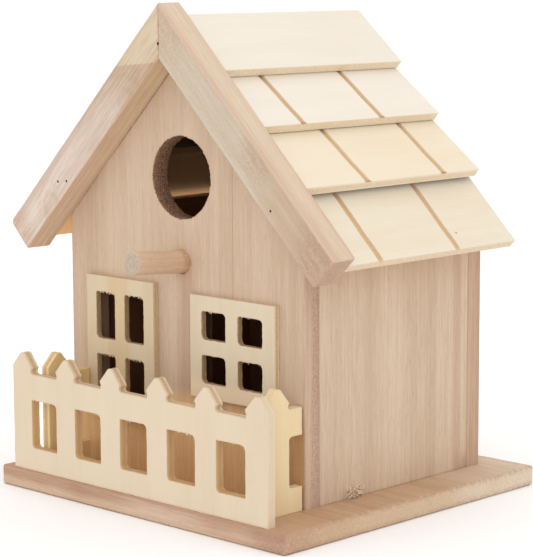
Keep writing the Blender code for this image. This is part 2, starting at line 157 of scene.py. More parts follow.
def plate(name, outline, holes, thickness, axes, replaced, body=HOUSE, radius=0.3 * MM, margin=0.8 * MM,
          step=4 * MM, wobble=0.05 * MM, wobble_size=6 * MM, hole_step=0.8 * MM, tear=0.0, clean_holes=()):
    """A flat board with torn and clean holes.

    axes are its corner and its across, up and depth directions. Each point's edge, depth and bore values
    tell the material how near an edge it is, how deep in the thickness, and whether it is in a torn hole.
    """
    corner, across, up, depth_way = axes
    bm = bmesh.new()
    edge_layer = bm.verts.layers.float.new("edge")
    depth_layer = bm.verts.layers.float.new("depth")
    bore_layer = bm.verts.layers.float.new("bore")
    caps = ([], [])
    loops = [(dense(outline, step), 0.0)]
    loops += [(dense(list(reversed(hole)), hole_step), 1.0) for hole in holes]
    loops += [(dense(list(reversed(hole)), step), 0.0) for hole in clean_holes]
    for loop, bored in loops:
        rings = []
        for depth, inside, edge in eased(thickness, radius, margin):
            ring = []
            for point in inset(loop, inside):
                spot = corner + across * point.x + up * point.y + depth_way * depth
                torn = noise.noise_vector(spot / (0.9 * MM)) * tear * bored
                vert = bm.verts.new(spot + torn - depth_way * torn.dot(depth_way))
                vert[edge_layer] = edge
                vert[depth_layer] = depth / thickness
                vert[bore_layer] = bored if radius * 0.2 < depth < thickness - radius * 0.2 else 0.0
                ring.append(vert)
            rings.append(ring)
        for near, far in zip(rings, rings[1:]):
            for index in range(len(loop)):
                bm.faces.new((near[index - 1], near[index], far[index], far[index - 1]))
        for cap, ring in zip(caps, (rings[0], rings[-1])):
            cap += [bm.edges.get((ring[index - 1], ring[index])) for index in range(len(loop))]
    for cap in caps:
        bmesh.ops.triangle_fill(bm, use_beauty=True, edges=cap)
    return finish_mesh(bm, name, replaced, body, wobble, wobble_size)


def turned(name, profile, count, start, way, replaced, wobble=0.0):
    """A round piece from (distance, radius) steps along a direction."""
    turn = way.to_track_quat("Z", "Y").to_matrix()
    bm = bmesh.new()
    rings = []
    for distance, radius in profile:
        spots = [Vector((point.x, point.y, distance)) for point in circle(0, 0, radius, count)]
        rings.append([bm.verts.new(start + turn @ spot) for spot in spots])
    for near, far in zip(rings, rings[1:]):
        for index in range(count):
            bm.faces.new((near[index - 1], near[index], far[index], far[index - 1]))
    bm.faces.new(rings[0])
    bm.faces.new(rings[-1])
    return finish_mesh(bm, name, replaced, wobble=wobble)


def long_axis(node):
    """(start, direction, length) of a round CAD piece, from the spread of its points."""
    points = [vert.co.copy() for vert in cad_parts[node].data.vertices]
    centre = sum(points, Vector()) / len(points)
    way = max((point - centre for point in points), key=lambda offset: offset.length).normalized()
    for _ in range(40):
        way = sum(((point - centre) * (point - centre).dot(way) for point in points), Vector()).normalized()
    if way.y < 0:
        way = -way
    reach = [(point - centre).dot(way) for point in points]
    return centre + way * min(reach), way, max(reach) - min(reach)


# --- shader nodes ---------------------------------------------------------------------------

def tone(red, green, blue):
    """A scene-linear colour from display values of 0 to 255."""
    def linear(value):
        share = value / 255
        return share / 12.92 if share <= 0.04045 else ((share + 0.055) / 1.055) ** 2.4
    return (linear(red), linear(green), linear(blue), 1.0)


def node(tree, kind, sockets, **settings):
    made = tree.nodes.new("ShaderNode" + kind)
    for key, value in settings.items():
        setattr(made, key, value)
    for key, value in sockets.items():
        if isinstance(value, bpy.types.NodeSocket):
            tree.links.new(value, made.inputs[key])
        else:
            made.inputs[key].default_value = value
    return made


def calculate(tree, operation, first, second=0.0):
    return node(tree, "Math", {0: first, 1: second}, operation=operation).outputs[0]


def times(tree, first, second):
    return calculate(tree, "MULTIPLY", first, second)


def plus(tree, first, second):
    return calculate(tree, "ADD", first, second)


def weigh(tree, *parts):
    """The sum of (value, share) parts."""
    total = 0.0
    for value, share in parts:
        total = plus(tree, total, times(tree, value, share))
    return total


def off_centre(tree, value, centre):
    """How far a value is from a centre, either way."""
    return calculate(tree, "ABSOLUTE", calculate(tree, "SUBTRACT", value, centre))


def spread(tree, value, low, high, to_low=0.0, to_high=1.0):
    """The value's stretch from low to high, eased and held inside the new limits."""
    sockets = {"Value": value, "From Min": low, "From Max": high, "To Min": to_low, "To Max": to_high}
    return node(tree, "MapRange", sockets, interpolation_type="SMOOTHSTEP").outputs["Result"]


def mix(tree, factor, first, second, blend="MIX"):
    """Colour first, with second laid over it."""
    made = node(tree, "Mix", {0: factor, 6: first, 7: second}, data_type="RGBA", blend_type=blend)
    return made.outputs[2]


def stretched(tree, vector, scale):
    return node(tree, "Mapping", {"Vector": vector, "Scale": scale}).outputs[0]


def grain_noise(tree, vector, size, along, detail=3.0):
    """Noise with features of a size, drawn out along the grain by the given number of times."""
    drawn = stretched(tree, vector, (1, 1, 1 / along))
    sockets = {"Vector": drawn, "Scale": 1 / size, "Detail": detail, "Roughness": 0.55}
    return node(tree, "TexNoise", sockets).outputs["Fac"]


def ragged(tree, operation, place, vector, uneven, size):
    """A distance from a point, or along a direction, made uneven by up to a size."""
    measured = node(tree, "VectorMath", {0: place, 1: vector}, operation=operation).outputs["Value"]
    return plus(tree, measured, times(tree, uneven, size))


def around(centre, radius):
    """A mark that is full at a point and fades unevenly to nothing at its radius."""
    def mask(tree, place, uneven):
        distance = ragged(tree, "DISTANCE", place, centre, uneven, radius * 0.9)
        return spread(tree, distance, radius * 1.5, radius * 0.7)
    return mask


def past(direction, distance, softness):
    """A mark over everything further than a distance along a direction."""
    def mask(tree, place, uneven):
        along = ragged(tree, "DOT_PRODUCT", place, direction, uneven, softness)
        return spread(tree, along, distance, distance + softness)
    return mask


def streak(middle, half_width, direction=ACROSS):
    """A mark along the grain, either side of a distance along a direction."""
    def mask(tree, place, uneven):
        along = ragged(tree, "DOT_PRODUCT", place, direction, uneven, half_width * 0.8)
        return spread(tree, off_centre(tree, along, middle + half_width * 0.4), half_width, half_width * 0.2)
    return mask


def knot(centre, radius, ring):
    """Wavering rings round a point, out to a radius."""
    def mask(tree, place, uneven):
        distance = ragged(tree, "DISTANCE", place, centre, uneven, ring * 4)
        wave = calculate(tree, "SINE", times(tree, distance, 2 * math.pi / ring))
        rings = spread(tree, wave, -0.8, 1.0, 0.3, 1.0)
        return times(tree, rings, around(centre, radius)(tree, place, uneven))
    return mask


def both(first, second):
    """A mark only where two others overlap."""
    return lambda tree, place, uneven: times(tree, first(tree, place, uneven), second(tree, place, uneven))


def start_material(name, grain, seed):
    """A material, its tree, its shader, its object place, and the same turned to the grain and shifted."""
    material = bpy.data.materials.new(name)
    material.use_nodes = True
    tree = material.node_tree
    shader = tree.nodes["Principled BSDF"]
    place = node(tree, "TexCoord", {})
    turn = Vector(grain).rotation_difference(UP).to_euler()
    shift = (seed * 0.137, seed * 0.291, seed * 0.173)
    grained = node(tree, "Mapping", {"Vector": place.outputs["Object"], "Rotation": turn, "Location": shift})
    facing = node(tree, "Mapping", {"Vector": place.outputs["Normal"], "Rotation": turn},
                  vector_type="VECTOR")
    along = node(tree, "SeparateXYZ", {0: facing.outputs[0]}).outputs["Z"]
    end_grain = spread(tree, calculate(tree, "ABSOLUTE", along), 0.55, 0.9)
    return material, tree, shader, place.outputs["Object"], grained.outputs[0], end_grain


def fine_noise(tree, vector, size, detail=2.0):
    return node(tree, "TexNoise", {"Vector": vector, "Scale": 1 / size, "Detail": detail}).outputs["Fac"]


def attribute(tree, name):
    return node(tree, "Attribute", {}, attribute_name=name).outputs["Fac"]


def ratio(dark, light):
    """What a linear colour is multiplied by to turn the light display colour into the dark one."""
    return tuple(deep / pale for deep, pale in zip(tone(*dark), tone(*light)))


def lay_marks(tree, colour, marks, place, uneven, speckle):
    """Marks over a colour. Each is (mask, colour, strength, speckled)."""
    for mask, mark_colour, strength, speckled in marks:
        amount = times(tree, mask(tree, place, uneven), strength)
        if speckled:
            amount = times(tree, amount, spread(tree, speckle, 0.33, 0.67, 0.3, 1.0))
        colour = mix(tree, amount, colour, tone(*mark_colour))
    return colour


def connect(tree, shader, colour, height, bump, roughness, specular=0.5):
    """Leads a colour, a bump of some (strength, distance) and a roughness into a shader."""
    bumped = node(tree, "Bump", {"Height": height, "Strength": bump[0], "Distance": bump[1]})
    tree.links.new(colour, shader.inputs["Base Color"])
    tree.links.new(bumped.outputs[0], shader.inputs["Normal"])
    tree.links.new(roughness, shader.inputs["Roughness"])
    shader.inputs["Specular IOR Level"].default_value = specular


def paint_inner_light_and_shade(tree, colour, inside, inner_light_and_shade):
    """Another colour on the face towards the nest, which is side 0 or 1 of a board's thickness: painted
    shade, and on the lowest roof row painted light.
    """
    return mix(tree, spread(tree, attribute(tree, "depth"), abs(inside - 0.01), inside), colour, tone(*inner_light_and_shade))


# Painted shade: a dark brown for the faces towards the nest, where only shade falls.
NEST_PAINTED_SHADE = (146, 100, 68)
END_GRAIN = ((176, 142, 116), (120, 88, 68))
# Torn hole colours: sawn wood at the mouth, and a near-black reached with torn grit and, as painted shade,
# deeper in the bore.
SAWN_HOLE_AND_SHADE = ((186, 144, 114), (62, 35, 22))


def board_wood(name, light, dark, grain=(0, 0, 1), seed=0, contrast=1.0, marks=(), inside=None,
               end=END_GRAIN, worn=(168, 134, 112), worn_share=0.4):
    """Bare, planed, light wood: broad bands, long streaks, fine fibres and short pores.

    Cuts across the grain show the end colours, and edges wear. inside is 0 or 1, the side of a wall's
    thickness that faces the nest, which gets painted nest shade.
    """
    material, tree, shader, place, grained, end_grain = start_material(name, grain, seed)
    bands = grain_noise(tree, grained, 11 * MM, 22, detail=2)
    streaks = grain_noise(tree, grained, 1.9 * MM, 60)
    fibres = grain_noise(tree, grained, 0.55 * MM, 22, detail=2)
    pores = grain_noise(tree, grained, 0.45 * MM, 10, detail=1)
    patches = grain_noise(tree, grained, 24 * MM, 1.8)
    speckle = fine_noise(tree, grained, 0.8 * MM, 4)
    grit = spread(tree, fine_noise(tree, grained, 0.55 * MM, 3), 0.36, 0.64)
    shade = weigh(tree, (bands, 0.40), (streaks, 0.26), (fibres, 0.34))
    shade = spread(tree, shade, 0.5 - 0.17 / contrast, 0.5 + 0.17 / contrast)
    shade = plus(tree, shade, times(tree, end_grain, calculate(tree, "SUBTRACT", grit, shade)))
    colour = mix(tree, end_grain, tone(*light), tone(*end[0]))
    colour = lay_marks(tree, colour, marks, place, patches, speckle)
    deepened = mix(tree, end_grain, ratio(dark, light), ratio(end[1], end[0]))
    colour = mix(tree, shade, colour, deepened, "MULTIPLY")
    colour = mix(tree, spread(tree, pores, 0.60, 0.74, 0.0, 0.35), colour, tone(*worn))
    bored = attribute(tree, "bore")
    # darker with torn grit, and with depth into the bore as painted shade
    grit_and_depth_shade = weigh(tree, (grit, 0.65), (attribute(tree, "depth"), 0.35))
    colour = mix(tree, bored, colour, mix(tree, grit_and_depth_shade, tone(*SAWN_HOLE_AND_SHADE[0]), tone(*SAWN_HOLE_AND_SHADE[1])))
    rubbed = times(tree, attribute(tree, "edge"), spread(tree, streaks, 0.3, 0.65, 0.0, worn_share))
    colour = mix(tree, rubbed, colour, tone(*worn))
    # painted nest shade on the face towards the nest
    if inside is not None:
        colour = paint_inner_light_and_shade(tree, colour, inside, NEST_PAINTED_SHADE)
    torn = times(tree, bored, times(tree, speckle, 2.0))
    height = weigh(tree, (fibres, 1.0), (speckle, 0.4), (torn, 1.0))
    roughness = spread(tree, fibres, 0.2, 0.8, 0.62, 0.8)
    connect(tree, shader, colour, height, (0.35, 0.15 * MM), roughness, 0.2)
    return material


def plywood(name, veneer, shade, core, glue, grain=(0, 0, 1), seed=0, skin=0.24, marks=(), inside=None,
            inner_light_and_shade=(112, 76, 52), cut=(206, 166, 112), pale_edge=None):
    """Thin pale plywood: a smooth veneer on both faces, and the darker plies on every sawn edge.

    skin is the share of the thickness that each outer ply takes, and inside is as in board_wood, with its own
    inner colour: painted shade by default, and painted light where a bright one is given. Holes and grooves
    take some of the cut colour. pale_edge is a mask over sawn edges that are nearly as pale as the face.
    """
    material, tree, shader, place, grained, _ = start_material(name, grain, seed)
    fibres = grain_noise(tree, grained, 0.5 * MM, 25)
    figure = grain_noise(tree, grained, 9 * MM, 7)
    cloud = grain_noise(tree, grained, 28 * MM, 1.5, detail=2)
    pores = fine_noise(tree, grained, 0.6 * MM, 3)
    drift = weigh(tree, (figure, 0.5), (fibres, 0.25), (cloud, 0.25))
    face = mix(tree, spread(tree, drift, 0.36, 0.66, 0.0, 0.6), tone(*veneer), tone(*shade))
    face = lay_marks(tree, face, marks, place, cloud, pores)
    wander = times(tree, calculate(tree, "SUBTRACT", pores, 0.5), 0.1)
    level = plus(tree, off_centre(tree, attribute(tree, "depth"), 0.5), wander)
    sawn = mix(tree, spread(tree, pores, 0.35, 0.65), tone(*core), tone(*glue))
    if pale_edge:
        sawn = mix(tree, times(tree, pale_edge(tree, place, cloud), 0.8), sawn, face)
    colour = mix(tree, spread(tree, level, 0.47 - skin, 0.53 - skin), sawn, face)
    seam = spread(tree, off_centre(tree, level, 0.5 - skin), 0.035, 0.01, 0.0, 0.45)
    colour = mix(tree, seam, colour, tone(*glue))
    colour = mix(tree, times(tree, attribute(tree, "bore"), 0.65), colour, tone(*cut))
    rubbed = times(tree, attribute(tree, "edge"), spread(tree, pores, 0.35, 0.65, 0.0, 0.3))
    colour = mix(tree, rubbed, colour, tone(*core))
    # the inner colour paints shade on the face towards the nest, unless a bright one paints light there
    if inside is not None:
        colour = paint_inner_light_and_shade(tree, colour, inside, inner_light_and_shade)
    height = weigh(tree, (fibres, 0.7), (pores, 0.4))
    roughness = spread(tree, fibres, 0.2, 0.8, 0.55, 0.72)
    connect(tree, shader, colour, height, (0.22, 0.12 * MM), roughness, 0.25)
    return material


def dark_steel(name, colour=(92, 84, 78), roughness=0.42):
    """Dulled steel with fine scratches."""
    material, tree, shader, _, turned_in, _ = start_material(name, (0, 0, 1), 3)
    scratch = grain_noise(tree, turned_in, 0.3 * MM, 6, detail=4)
    bright = tuple(min(255, channel * 1.35) for channel in colour)
    shown = mix(tree, spread(tree, scratch, 0.3, 0.7), tone(*colour), tone(*bright))
    dulled = spread(tree, scratch, 0.2, 0.8, roughness - 0.08, roughness + 0.1)
    connect(tree, shader, shown, scratch, (0.2, 0.03 * MM), dulled)
    shader.inputs["Metallic"].default_value = 0.85
    return material


def give(piece, material):
    piece.data.materials.clear()
    piece.data.materials.append(material)
    return piece


# --- base and walls -------------------------------------------------------------------------

ENTRANCE_HEIGHT = 128.7 * MM         # above the wall's foot, like the hatch's foot
ENTRANCE_RADIUS = 17.2 * MM
PERCH_RADIUS = 4.85 * MM
HATCH_FOOT = 12.7 * MM
HATCH_WIDTH = 38 * MM
HATCH_HEIGHT = 45 * MM


def base_marks(low, high):
    """Darker upper front edge and near corner, and paler towards the back."""
    front_corner = Vector((high.x, low.y, high.z))
    upper_edge = both(past(UP, high.z * 0.45, 2.5 * MM), past(-BACK, -low.y - 1.2 * MM, 0.8 * MM))
    top_face = past(UP, high.z - 1 * MM, 0.5 * MM)
    return [(upper_edge, (180, 140, 118), 0.6, False),
            (around(front_corner, 24 * MM), (156, 112, 94), 0.62, True),
            (around(front_corner + BACK * 22 * MM, 26 * MM), (196, 160, 130), 0.7, True),
            (around(front_corner - ACROSS * 120 * MM, 12 * MM), (176, 138, 118), 0.5, True),
            (around(front_corner - ACROSS * 70 * MM, 34 * MM), (224, 202, 180), 0.6, False),
            (past(BACK, 28 * MM, 70 * MM), (226, 212, 192), 0.7, False),
            (both(past(-BACK, -30 * MM, 40 * MM), top_face), (194, 156, 120), 0.5, False),
            (top_face, (196, 164, 132), 0.3, False)]


def build_base():
    low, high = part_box("base_board")
    bores = []
    for spot in ("front_left", "front_right", "back_left", "back_right"):
        node_name = "base_brad_" + spot
        brad_low, brad_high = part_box(node_name)
        middle = (brad_low + brad_high) / 2
        bores.append(circle(middle.x, middle.y, 1.1 * MM, 12))
        give(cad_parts[node_name], dark_steel("steel_" + node_name))
    outline = rectangle(low.x, low.y, high.x, high.y, [1.3 * MM] * 4)
    base = plate("base", outline, bores, high.z - low.z, (Vector(), ACROSS, BACK, UP),
                 "base_board", radius=1.1 * MM, margin=0.6 * MM, wobble=0.16 * MM, wobble_size=9 * MM)
    wood = board_wood("base_wood", (214, 187, 160), (196, 164, 136), grain=(1, 0, 0), seed=4,
                      marks=base_marks(low, high), end=((208, 182, 152), (199, 171, 141)),
                      worn=(168, 130, 110), worn_share=0.5)
    return give(base, wood)


def gable(node_name):
    """The outline of a gable wall in X and Z, from its box: a square top half at 45 degrees."""
    low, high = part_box(node_name)
    shoulder = high.z - (high.x - low.x) / 2
    foot = low.z - GAP
    return [Vector((low.x, foot)), Vector((high.x, foot)), Vector((high.x, shoulder)),
            Vector((0, high.z)), Vector((low.x, shoulder))]


def opening_behind(frame_node):
    """The wall's opening behind a window frame, which laps over its edges."""
    lap = 1.9 * MM
    low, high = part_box(frame_node)
    return rectangle(low.x + lap, low.z + lap, high.x - lap, high.z - lap)


def front_wall_marks(low, high, perch_height):
    """Shadowed joints with painted shadow under the barges, painted shadow below the perch, stains, painted
    warm light on the wall behind the fence with painted shade at its right end, and painted shade on the
    sides of the window openings.
    """
    # Painted shadow: the perch's soft shadow falling down the wall below it.
    perch_shadow = both(streak(3 * MM, 8 * MM), past(-UP, -perch_height, 12 * MM))
    end_strip = past(ACROSS, high.x - 0.2 * MM, 0.1 * MM)
    strip_rear = both(end_strip, past(BACK, low.y + 3 * MM, 4 * MM))
    off_ends = both(past(-ACROSS, -high.x + 0.6 * MM, 0.4 * MM), past(ACROSS, low.x + 0.6 * MM, 0.4 * MM))
    # Painted warm bounce light on the wall seen through the fence, with painted shade at its right end by the
    # side panel.
    behind_fence_light_and_shade = both(past(-UP, -45 * MM, 10 * MM), off_ends)
    inwards = both(past(BACK, low.y + 0.5 * MM, 0.2 * MM), past(-UP, -100 * MM, 1 * MM))
    # Painted shade on the sides of the window openings, lighter brown on the left half.
    shaded_opening_sides = both(inwards, both(past(ACROSS, -62 * MM, 1 * MM), past(-ACROSS, -62 * MM, 1 * MM)))
    under_barge = (ACROSS - UP).normalized()
    barge_edge = Vector((0, 0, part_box("barge_left")[1].z - BARGE_WIDTH * math.sqrt(2)))
    # Painted shadow in the gap under the barge boards.
    barge_gap_shadow = streak(under_barge.dot(barge_edge) + 0.1 * MM, 0.5 * MM, under_barge)
    return [(shaded_opening_sides, (84, 54, 36), 1.0, False),
            (both(shaded_opening_sides, past(-ACROSS, 0, 1 * MM)), (138, 92, 62), 1.0, False),
            (around(Vector((0, low.y, perch_height)), 8 * MM), (194, 158, 124), 0.6, True),
            (barge_gap_shadow, (120, 84, 60), 0.8, True),
            (past(-ACROSS, 42 * MM, 24 * MM), (202, 176, 150), 0.5, False),
            (perch_shadow, (190, 158, 132), 0.55, False),
            (streak(30 * MM, 0.5 * MM), (180, 148, 124), 0.5, False),
            (behind_fence_light_and_shade, (246, 206, 152), 0.95, False),
            (both(behind_fence_light_and_shade, past(ACROSS, high.x - 19 * MM, 6 * MM)), (200, 160, 118), 0.95, False),
            (streak(-44 * MM, 9 * MM), (218, 195, 168), 0.4, False),
            (streak(17 * MM, 7 * MM), (221, 199, 176), 0.4, False),
            (both(end_strip, past(-UP, -190 * MM, 100 * MM)), (198, 166, 142), 0.4, False),
            (strip_rear, (160, 120, 104), 0.6, True)]


def build_front_wall():
    """The gable wall with its entrance, its perch bore and an opening behind each window frame."""
    low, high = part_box("front_wall")
    perch_start, perch_way, _ = long_axis("perch_dowel")
    perch_height = perch_start.z + perch_way.z * (low.y + (high.y - low.y) / 2 - perch_start.y) / perch_way.y
    entrance = circle(0, low.z + ENTRANCE_HEIGHT, ENTRANCE_RADIUS, 96)
    perch_bore = circle(0, perch_height, PERCH_RADIUS - 0.1 * MM, 40)
    openings = [opening_behind("window_left"), opening_behind("window_right")]
    wall = plate("wall_front", gable("front_wall"), [entrance, perch_bore], high.y - low.y,
                 facing_front(low.y), "front_wall", step=2 * MM, wobble=0.1 * MM,
                 wobble_size=2 * MM, hole_step=0.6 * MM, tear=0.45 * MM, clean_holes=openings)
    wood = board_wood("front_wall_wood", (212, 189, 164), (195, 168, 142), seed=1,
                      marks=front_wall_marks(low, high, perch_height), inside=1)
    return give(wall, wood)


def build_back_wall():
    low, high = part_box("back_wall")
    foot = low.z + HATCH_FOOT
    hatch = rectangle(-HATCH_WIDTH / 2, foot, HATCH_WIDTH / 2, foot + HATCH_HEIGHT, [3 * MM] * 4)
    wall = plate("wall_back", gable("back_wall"), [hatch], high.y - low.y, facing_front(low.y),
                 "back_wall", radius=0.35 * MM, wobble=0.08 * MM, tear=0.2 * MM)
    marks = [(streak(-22 * MM, 0.5 * MM), (176, 144, 120), 0.5, False),
             (streak(40 * MM, 12 * MM), (222, 200, 174), 0.5, False),
             (streak(high.x, 2.5 * MM), (190, 156, 132), 0.5, False)]
    wood = board_wood("back_wall_wood", (214, 188, 162), (194, 163, 136), seed=9, marks=marks, inside=0)
    return give(wall, wood)


def build_side_wall(name, node_name, seed, inside):
    low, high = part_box(node_name)
    outline = rectangle(low.y - GAP, low.z - GAP, high.y + GAP, high.z)
    wall = plate(name, outline, [], high.x - low.x, facing_left(low.x), node_name,
                 radius=0.25 * MM)
    marks = [(streak(low.y + 38 * MM, 7 * MM, BACK), (223, 202, 176), 0.5, False),
             (streak(high.y - 7 * MM, 4 * MM, BACK), (190, 156, 132), 0.55, False),
             (streak(high.y - 24 * MM, 5 * MM, BACK), (198, 172, 146), 0.5, False),
             (around(Vector((high.x, high.y, low.z)), 9 * MM), (164, 124, 96), 0.6, True),
             (around(Vector((low.x, low.y, low.z)), 8 * MM), (164, 124, 96), 0.5, True)]
    wood = board_wood(name + "_wood", (214, 192, 166), (196, 171, 145), seed=seed, marks=marks, inside=inside,
                      end=((236, 212, 178), (222, 196, 160)))
    return give(wall, wood)


# --- roof -----------------------------------------------------------------------------------

def plank_corners(node_name):
    """The four corners of a roof plank's section as (x, z): lower under and over, upper over and under."""
    points = [(vert.co.x, vert.co.z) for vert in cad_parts[node_name].data.vertices]
    low_under = min(points, key=lambda point: point[1])
    low_over = max(points, key=lambda point: abs(point[0]))
    high_over = max(points, key=lambda point: point[1])
    high_under = min(points, key=lambda point: abs(point[0]) * 100 + point[1])
    return [Vector(point) for point in (low_under, low_over, high_over, high_under)]


def groove_depth(distance, run_out):
    """Share of a groove's full depth at a distance from the plank's lower end."""
    if distance >= run_out:
        return 1.0
    return max(0.0, distance / run_out) ** 0.6


def plank_top(front, rear, radius, margin, lift, grooves, depth):
    """(y, height share, edge, bore) across a plank's upper face, with a gouged groove at each given y."""
    half = 1.6 * MM
    top = [(front, 1 - lift, 0.7, 0), (front + radius * 0.3, 1 - lift * 0.3, 1, 0),
           (front + radius, 1, 0.6, 0), (front + radius + margin, 1, 0, 0)]
    for centre in grooves:
        top += [(centre - half, 1, 0, 0), (centre - half * 0.92, 1 - depth * 0.3, 0, 1),
                (centre - half * 0.8, 1 - depth * 0.8, 0, 1), (centre - half * 0.1, 1 - depth, 0, 1),
                (centre + half * 0.8, 1 - depth * 0.7, 0, 1), (centre + half, 1, 0, 0)]
    top += [(rear - radius - margin, 1, 0, 0), (rear - radius, 1, 0.6, 0),
            (rear - radius * 0.3, 1 - lift * 0.3, 1, 0), (rear, 1 - lift, 0.7, 0)]
    return top


def plank_stations(length, radius, margin):
    """(distance, inset) steps along a plank, closest together where its grooves run out."""
    stations = [(0, radius), (radius * 0.3, radius * 0.3), (radius, 0), (radius + margin, 0)]
    stations += [(distance * MM, 0) for distance in (1.5, 2.2, 3, 4.5, 8, 13, 19, 26, 33, 41)]
    return [entry for entry in stations if entry[0] < length - 2 * MM] + [(length, 0)]


def close_plank_end(bm, top, under, front, rear, depths):
    """Grids an end face between its upper and lower points. depths are its middle points' values."""
    depth_layer = bm.verts.layers.float["depth"]
    columns = [[top[0], *front, under[0]]]
    for above, below in list(zip(top, under))[1:-1]:
        middle = [bm.verts.new(above.co.lerp(below.co, part / (len(depths) + 1)))
                  for part in range(1, len(depths) + 1)]
        for vert, depth in zip(middle, depths):
            vert[depth_layer] = depth
        columns.append([above, *middle, below])
    columns.append([top[-1], *rear, under[-1]])
    for left, right in zip(columns, columns[1:]):
        for index in range(len(left) - 1):
            bm.faces.new((left[index], right[index], right[index + 1], left[index + 1]))


def build_plank(side, row, grooves, run_out, material):
    """A roof plank, lofted from its lower end to its upper end.

    Below row 1, the upper end shows only from the nest, so it counts as inner face and takes its painted
    colour: shade on rows 2 and 3, light on row 4.
    """
    node_name = f"shingle_{side}_{row}"
    low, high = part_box(node_name)
    low_under, low_over, high_over, high_under = plank_corners(node_name)
    thick = (low_over - low_under).length
    length = (high_under - low_under).length
    radius, margin, full_depth = 0.3 * MM, 0.7 * MM, 0.4
    lift = radius / thick
    rear = high.y - 0.6 * MM
    plies = (0.82, 0.66, 0.5, 0.34, 0.18)
    bm = bmesh.new()
    edge_layer = bm.verts.layers.float.new("edge")
    depth_layer = bm.verts.layers.float.new("depth")
    bore_layer = bm.verts.layers.float.new("bore")

    def add_point(under, over, y, share, inside, edge=0.0, bore=0.0):
        share = min(max(share, inside / thick), 1 - inside / thick)
        spot = under.lerp(over, share)
        vert = bm.verts.new((spot.x, min(max(y, low.y + inside), rear - inside), spot.y))
        vert[edge_layer] = edge
        vert[depth_layer] = share
        vert[bore_layer] = bore
        return vert

    tops, unders, fronts, rears = [], [], [], []
    for distance, inside in plank_stations(length, radius, margin):
        under = low_under.lerp(high_under, distance / length)
        over = low_over.lerp(high_over, distance / length)
        wander = noise.noise(Vector((distance / (9 * MM), row, len(side)))) * 0.3 * MM
        depth = full_depth * groove_depth(distance, run_out)
        top = plank_top(low.y, rear, radius, margin, lift, [y + wander for y in grooves], depth)
        tops.append([add_point(under, over, y, share, inside, edge, bore) for y, share, edge, bore in top])
        unders.append([add_point(under, over, spot[0], lift if spot[0] in (low.y, rear) else 0, inside)
                       for spot in top])
        fronts.append([add_point(under, over, low.y, share, inside) for share in plies])
        rears.append([add_point(under, over, rear, share, inside) for share in plies])
    rings = [top + behind + under[::-1] + before[::-1]
             for top, under, before, behind in zip(tops, unders, fronts, rears)]
    for near, far in zip(rings, rings[1:]):
        for index in range(len(near)):
            bm.faces.new((near[index - 1], near[index], far[index], far[index - 1]))
    upper_depths = plies if row == 1 else [0.0] * len(plies)
    for end, depths in ((0, plies), (-1, upper_depths)):
        close_plank_end(bm, tops[end], unders[end], fronts[end], rears[end], depths)
    plank = finish_mesh(bm, f"roof_plank_{side}_{row}", node_name, wobble=0.05 * MM,
                        wobble_size=5 * MM)
    return give(plank, material)


FIRST_GROOVES = {1: None, 2: 24.6 * MM, 3: 38.4 * MM, 4: 23.8 * MM}     # behind the front wall's face
GROOVE_PITCH = 48 * MM


def build_roof():
    """Four planks a side. Rows 2 to 4 have two gouged grooves; row 3's run out through its end."""
    run_outs = {1: 1 * MM, 2: 1.6 * MM, 3: 0.1 * MM, 4: 2.2 * MM}
    veneers = {1: (230, 221, 206), 2: (232, 223, 210), 3: (231, 218, 195), 4: (229, 218, 198)}
    shades = {1: (226, 213, 191), 2: (228, 216, 196), 3: (228, 208, 177), 4: (222, 205, 177)}
    skins = {1: 0.08, 2: 0.08, 3: 0.22, 4: 0.1}
    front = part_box("front_wall")[0].y
    for side, side_seed in (("left", 10), ("right", 20)):
        for row, first in FIRST_GROOVES.items():
            grooves = [front + first, front + first + GROOVE_PITCH] if first else []
            marks = []
            if side == "right" and row == 4:
                low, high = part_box("shingle_right_4")
                pit = Vector((high.x - 5.8 * MM, front + 77.3 * MM, low.z + 8.6 * MM))
                marks.append((around(pit, 0.6 * MM), (84, 58, 40), 1.0, False))
            # Painted shade on the undersides of rows 1 to 3, and a painted pool of warm light on row 4's
            # underside, where light comes in under the eaves.
            material = plywood(f"roof_{side}_{row}_wood", veneers[row], shades[row], (232, 213, 184),
                               (218, 195, 162), grain=(0, 1, 0), seed=row + side_seed, skin=skins[row],
                               marks=marks, inside=0, inner_light_and_shade=(254, 212, 154) if row == 4 else (114, 74, 52),
                               cut=(208, 173, 126))
            build_plank(side, row, grooves, run_outs[row], material)


def build_barge(side):
    """A thick roof-edge board, mitred at the peak, with its lower outer corner rubbed round."""
    sign = 1 if side == "right" else -1
    node_name = "barge_" + side
    low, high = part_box(node_name)
    mirror = 0.03 * MM
    reach = max(abs(low.x), abs(high.x))
    cut = BARGE_WIDTH / math.sqrt(2)
    rise = BARGE_WIDTH * math.sqrt(2)
    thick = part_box("shingle_right_1")[0].y - low.y
    outer_tip = (reach, high.z - (reach - mirror))
    inner_tip = (reach - cut, outer_tip[1] - cut)
    round_tip = 2.4 * MM if side == "left" else 1.0 * MM
    corners = [(mirror, high.z - rise, 0), (*inner_tip, 0.8 * MM), (*outer_tip, round_tip),
               (mirror, high.z, 0)]
    corners = [(sign * x, z, radius) for x, z, radius in corners]
    if side == "left":
        corners.reverse()
    barge = plate("barge_board_" + side, rounded(corners), [], thick, facing_front(low.y),
                  node_name, radius=0.7 * MM, margin=0.1 * MM, step=5 * MM, wobble=0.18 * MM,
                  wobble_size=9 * MM)
    return give(barge, barge_wood(side, low.y, high.z, sign))


